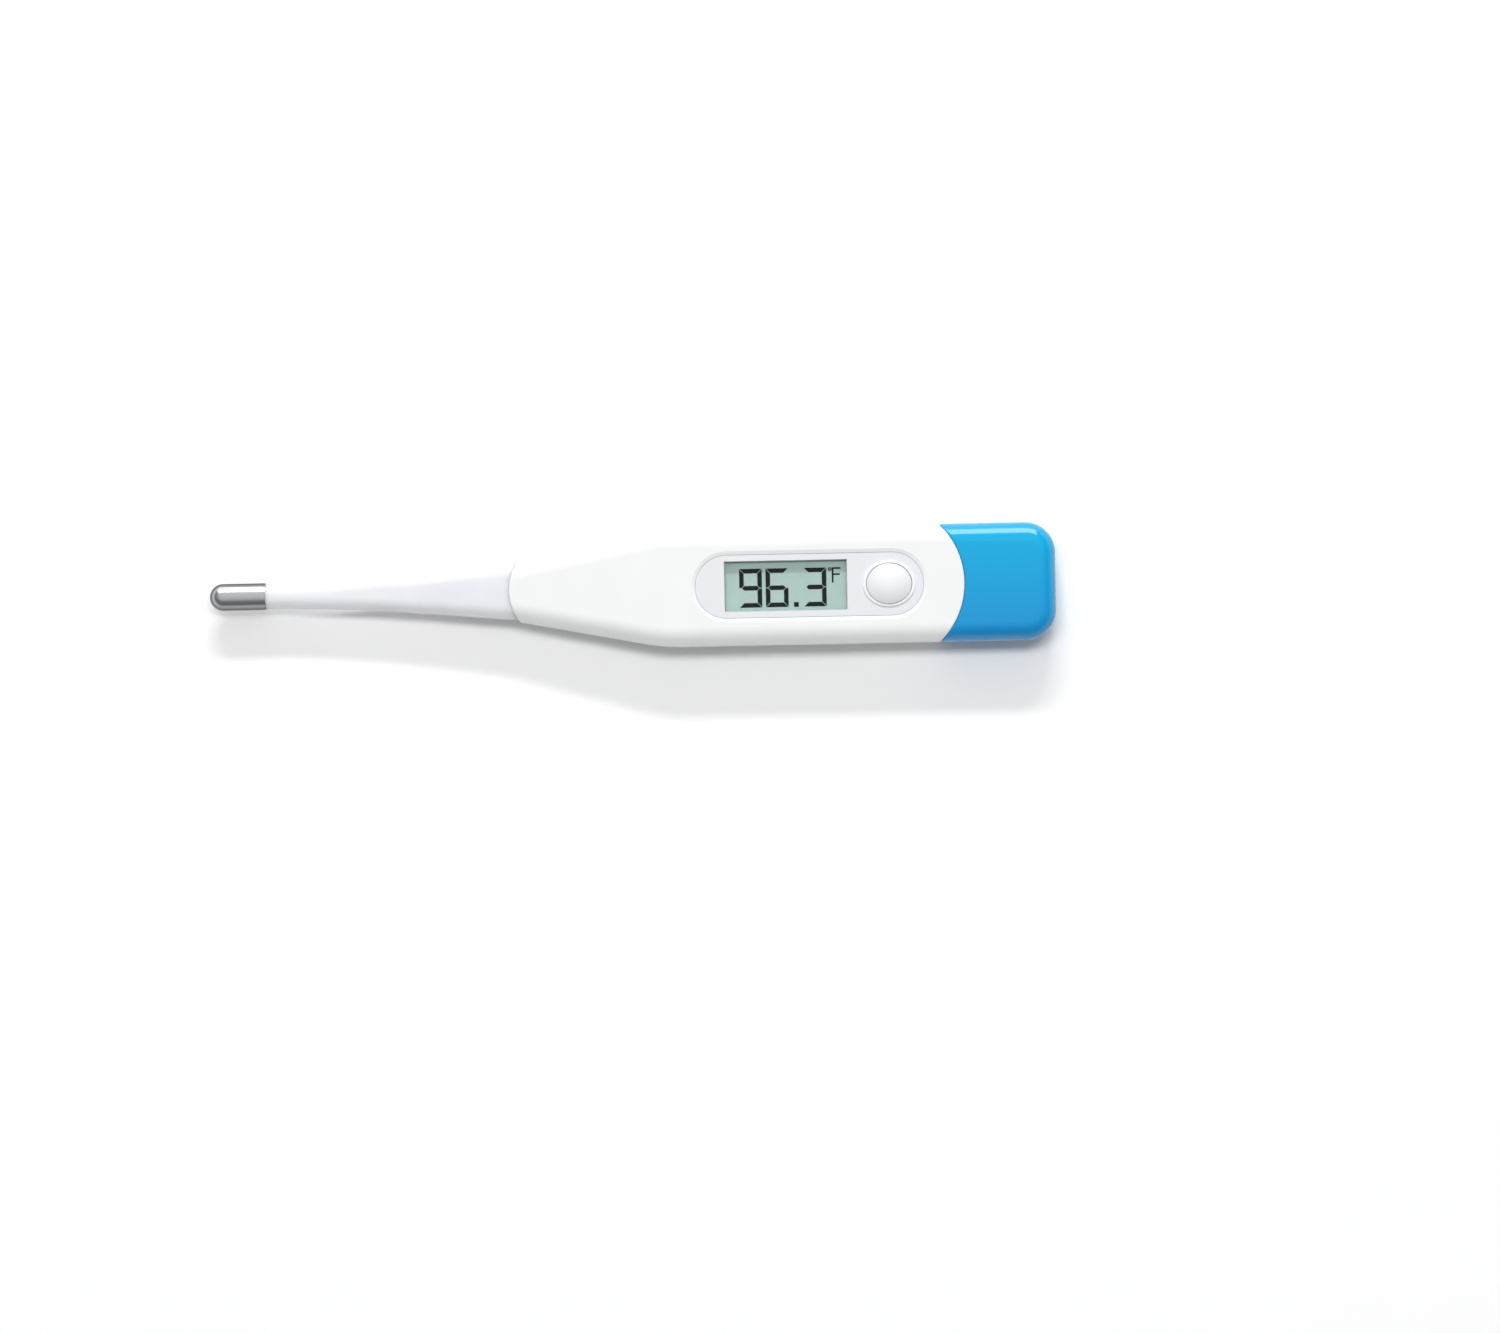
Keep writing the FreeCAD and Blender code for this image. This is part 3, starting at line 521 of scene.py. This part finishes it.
def digit_outlines(width, height, stroke, gap):
    """The seven segments of one digit round its centre, cut at 45 degrees where they meet."""
    x, y, in_x, in_y = width / 2, height / 2, width / 2 - stroke, height / 2 - stroke
    half = stroke / 2
    top = [(-x + gap, y), (x - gap, y), (in_x - gap, in_y), (-in_x + gap, in_y)]
    right = [(x, y - gap), (x, gap), (x - half, gap), (in_x, half + gap), (in_x, in_y - gap)]
    middle = [(-x + half + gap, 0), (-in_x + gap, half), (in_x - gap, half), (x - half - gap, 0),
              (in_x - gap, -half), (-in_x + gap, -half)]
    return {"a": top, "b": right, "c": [(i, -j) for i, j in right], "d": [(i, -j) for i, j in top],
            "e": [(-i, -j) for i, j in right], "f": [(-i, j) for i, j in right], "g": middle}


def make_reading():
    """The dark segments of a generic reading, just above the display's film."""
    left = window_low.x + WINDOW_MARGIN
    z = polarizer_high.z + INK_GAP
    mesh = bmesh.new()
    outlines = digit_outlines(DIGIT_WIDTH, DIGIT_HEIGHT, SEGMENT_WIDTH, SEGMENT_GAP)
    for text, offset in DIGIT_PLACES:
        centre = Vector((left + offset + DIGIT_WIDTH / 2, READING_SHIFT))
        for name in SEGMENTS[text]:
            outline = [centre + Vector(point) for point in outlines[name]]
            extrude_outline(mesh, outline, z, SEGMENT_THICKNESS)
    bottom = READING_SHIFT - DIGIT_HEIGHT / 2 + SEGMENT_WIDTH / 2
    make_point(mesh, left + POINT_PLACE, bottom, z)
    make_unit(mesh, left + UNIT_PLACE, READING_SHIFT + DIGIT_HEIGHT / 2, z)
    bmesh.ops.recalc_face_normals(mesh, faces=mesh.faces)
    piece = mesh_object("display_reading", mesh, segment_ink())
    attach(piece, "chassis")


def make_point(mesh, x, y, z):
    """The square decimal point, centred on x and y."""
    half = POINT_SIZE / 2
    outline = [Vector((x + i * half, y + j * half)) for i, j in ((-1, -1), (1, -1), (1, 1), (-1, 1))]
    extrude_outline(mesh, outline, z, SEGMENT_THICKNESS)


def stroke_line(mesh, start, end, z):
    """A thin square-ended stroke."""
    start, end = Vector(start), Vector(end)
    forward = (end - start).normalized() * UNIT_STROKE / 2
    side = Vector((-forward.y, forward.x))
    outline = [start - side, end - side, end + side, start + side]
    extrude_outline(mesh, outline, z, SEGMENT_THICKNESS)


def make_unit(mesh, x, top, z):
    """A small degree mark and unit letter, whose upright is centred on x."""
    turns = 12
    centre = Vector((x - DEGREE_OFFSET, top - DEGREE_RADIUS))
    for i in range(turns):
        a, b = (2 * math.pi * k / turns for k in (i, i + 1))
        outer, inner = DEGREE_RADIUS, DEGREE_RADIUS * 0.4
        outline = [centre + Vector((math.cos(t), math.sin(t))) * r
                   for r, t in ((outer, a), (outer, b), (inner, b), (inner, a))]
        extrude_outline(mesh, outline, z, SEGMENT_THICKNESS)
    stroke_line(mesh, (x, top - UNIT_HEIGHT), (x, top), z)
    start = x + UNIT_STROKE / 2
    upper, middle = top - UNIT_STROKE / 2, top - UNIT_HEIGHT * 0.45
    stroke_line(mesh, (start, upper), (x + UNIT_WIDTH, upper), z)
    stroke_line(mesh, (start, middle), (x + UNIT_WIDTH * 0.9, middle), z)


# ---------------------------------------------------------------- leads

def turns_round(count):
    """Evenly spaced angles of one whole turn."""
    return [2 * math.pi * i / count for i in range(count)]


def round_wire(points_x, y, look, name):
    """A straight wire at the neck's middle height, through the given places along X."""
    rings = []
    for x in points_x:
        rings.append([(x, y + LEAD_RADIUS * math.cos(turn), axis_z + LEAD_RADIUS * math.sin(turn))
                      for turn in turns_round(WIRE_SIDES)])
    return mesh_object(name, tube_mesh(rings), look)


def make_leads(seam_x, look):
    """The two leads through the neck, each in a front and a rear piece that meet at the neck's
    middle.
    """
    lead_low, lead_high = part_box("sensor_leads")
    for side, y in (("left", LEAD_OFFSET), ("right", -LEAD_OFFSET)):
        front = round_wire(spaced(lead_low.x, seam_x, LEAD_STEP), y, look, f"lead_front_{side}")
        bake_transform(front)
        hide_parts("sensor_leads")
        rear = round_wire(spaced(seam_x, lead_high.x, LEAD_STEP), y, look, f"lead_rear_{side}")
        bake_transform(rear)
        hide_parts("sensor_leads")


def make_slack(look):
    """The folded spare leads, as a copy of the CAD piece with its own material."""
    node = nodes["lead_slack"]
    slack = bpy.data.objects.new("lead_slack_stretching", node.data.copy())
    slack.data.materials.clear()
    slack.data.materials.append(look.material)
    bpy.context.collection.objects.link(slack)
    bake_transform(slack)
    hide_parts("lead_slack")


def make_springs():
    """The buzzer's two coiled contact springs."""
    low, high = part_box("buzzer_springs")
    radius = SPRING_DIAMETER / 2 - SPRING_WIRE
    look = worn_metal("spring_wire", srgb("#c9c7c0"), 0.35)
    disc_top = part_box("buzzer_disc")[1].z
    ceramic_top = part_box("buzzer_ceramic")[1].z
    x = (low.x + high.x) / 2
    for name, y, bottom in (("rim", high.y - SPRING_DIAMETER / 2, disc_top),
                            ("middle", low.y + SPRING_DIAMETER / 2, ceramic_top)):
        height = high.z - bottom - 2 * SPRING_WIRE
        rings = []
        count = SPRING_TURNS * SPRING_STEPS
        for i in range(count + 1):
            turn = 2 * math.pi * i / SPRING_STEPS
            centre = Vector((x + radius * math.cos(turn), y + radius * math.sin(turn),
                             bottom + SPRING_WIRE + height * i / count))
            outwards = Vector((math.cos(turn), math.sin(turn), 0))
            rings.append([centre + outwards * SPRING_WIRE * math.cos(t)
                          + Vector((0, 0, SPRING_WIRE * math.sin(t)))
                          for t in turns_round(WIRE_SIDES)])
        spring = mesh_object(f"buzzer_spring_{name}", tube_mesh(rings), look)
        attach(spring, "chassis")
        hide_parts("buzzer_springs")


# ---------------------------------------------------------------- stage, light, camera

FRAME_WIDTH = 225.4 * MM        # of the picture, at the object
LENS = 150.0
SENSOR = 36.0
ELEVATION = 90.0
ROLL = 1.15
OBJECT_LEFT = 17.65 * MM        # how far the object's middle is left of the picture's
OBJECT_UP = 11.62 * MM          # and above it
FLOOR_SIZE = 0.7                # from its middle to each edge

# Light: each key's share is the part of a white floor's brightness that it gives
SKY_LEAN = 20.0                 # of the sky's bright part from straight up, in degrees
SKY_GLOW = (0.4, 0.98)          # cosines of the angles where that part ends and is full
SKY_LOW = 0.15
SKY_HIGH = 0.6
SKY_BAND = (0.1, 0.3)           # heights where the pale horizon is full and ends
SKY_HORIZON = 0.6               # added to the sky near the horizon
SOFT_KEYS = (("key_high", 11.0, (0.5, 0.18), 0.46), ("key_low", 50.0, (0.5, 0.1), 0.28))
KEY_DISTANCE = 1.2
STRIP_LEAN = 68.0
STRIP_SIZE = (1.6, 0.7)
STRIP_BRIGHTNESS = 7.0


def area_light(name, place, target, size, power):
    """A rectangular light at place, turned towards target."""
    data = bpy.data.lights.new(name, "AREA")
    data.shape = "RECTANGLE"
    data.size, data.size_y = size
    data.energy = power
    light = bpy.data.objects.new(name, data)
    light.location = place
    light.rotation_euler = (Vector(target) - Vector(place)).to_track_quat("-Z", "Y").to_euler()
    light.visible_camera = False
    bpy.context.collection.objects.link(light)
    return light


def make_stage():
    """The white floor under the object."""
    mesh = bmesh.new()
    bmesh.ops.create_grid(mesh, x_segments=1, y_segments=1, size=FLOOR_SIZE)
    look = Look("floor_white", srgb("#fdfdfd"), 0.9)
    look.vary_colour(look.mapped(look.noise(20 * MM, 2), 0.0, 1.0), srgb("#fcfcfc"))
    floor = mesh_object("floor", mesh, look)


def world_stretch(tree, value, start, end, low, high):
    """The value from start to end, spread smoothly over low to high."""
    node = tree.nodes.new("ShaderNodeMapRange")
    node.interpolation_type = "SMOOTHSTEP"
    for socket, number in zip(("From Min", "From Max", "To Min", "To Max"), (start, end, low, high)):
        node.inputs[socket].default_value = number
    tree.links.new(value, node.inputs["Value"])
    return node.outputs["Result"]


def make_sky():
    """A soft white tent, brightest overhead towards +Y and pale at the horizon."""
    world = bpy.data.worlds.new("studio")
    world.use_nodes = True
    tree = world.node_tree
    direction = tree.nodes.new("ShaderNodeTexCoord").outputs["Generated"]
    overhead = tree.nodes.new("ShaderNodeVectorMath")
    overhead.operation = "DOT_PRODUCT"
    overhead.inputs[1].default_value = leaning(SKY_LEAN, 1.0)
    tree.links.new(direction, overhead.inputs[0])
    split = tree.nodes.new("ShaderNodeSeparateXYZ")
    tree.links.new(direction, split.inputs["Vector"])
    total = tree.nodes.new("ShaderNodeMath")
    glow = world_stretch(tree, overhead.outputs["Value"], *SKY_GLOW, SKY_LOW, SKY_HIGH)
    band = world_stretch(tree, split.outputs["Z"], *SKY_BAND, SKY_HORIZON, 0.0)
    tree.links.new(glow, total.inputs[0])
    tree.links.new(band, total.inputs[1])
    background = tree.nodes["Background"]
    background.inputs["Color"].default_value = (0.985, 0.99, 1.0, 1)
    tree.links.new(total.outputs["Value"], background.inputs["Strength"])
    bpy.context.scene.world = world


def leaning(lean, distance):
    """A place at the given distance, leaning from straight up towards +Y."""
    lean = math.radians(lean)
    return Vector((0, math.sin(lean), math.cos(lean))) * distance


def make_light():
    """Two soft keys leaning towards +Y, and a bright strip that is only seen as a highlight."""
    make_sky()
    for name, lean, size, share in SOFT_KEYS:
        power = share * (math.pi * KEY_DISTANCE) ** 2 / math.cos(math.radians(lean))
        key = area_light(name, leaning(lean, KEY_DISTANCE), (0, 0, 0), size, power)
        key.visible_glossy = False
    power = STRIP_BRIGHTNESS * math.pi * STRIP_SIZE[0] * STRIP_SIZE[1]
    strip = area_light("strip", leaning(STRIP_LEAN, KEY_DISTANCE), (0, 0, 0), STRIP_SIZE, power)
    strip.visible_diffuse = False


def make_camera():
    """Looks straight down, turned a little about the upright axis."""
    rise = math.radians(ELEVATION)
    turn = Matrix.Rotation(-math.radians(ROLL), 3, "Z")
    back = turn @ Vector((0, -math.cos(rise), math.sin(rise)))
    right = turn @ Vector((1, 0, 0))
    up = back.cross(right)
    distance = FRAME_WIDTH * LENS / SENSOR
    middle = Vector((0, 0, axis_z))
    target = middle + right * OBJECT_LEFT - up * OBJECT_UP
    data = bpy.data.cameras.new("camera")
    data.lens = LENS
    data.sensor_width = SENSOR
    data.clip_start = 0.01
    camera = bpy.data.objects.new("camera", data)
    place = target + back * distance
    basis = Matrix((right, up, back)).transposed().to_4x4()
    camera.matrix_world = Matrix.Translation(place) @ basis
    bpy.context.collection.objects.link(camera)
    bpy.context.scene.camera = camera
    bpy.context.scene.view_settings.view_transform = "Standard"


make_camera()
make_stage()
make_light()
assign_materials()
seam_x = (lift_x + swing_x) / 2
neck_look = soft_neck()
make_neck_root(neck_look, seam_x)
make_neck_tip(neck_look, seam_x)
lead_look = moulded_plastic("lead_enamel_flexed", srgb("#a5583a"), 0.34, grain=0.05 * MM)
make_leads(seam_x, lead_look)
make_slack(lead_look)
make_springs()
make_reading()
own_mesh(nodes["switch_dome"])
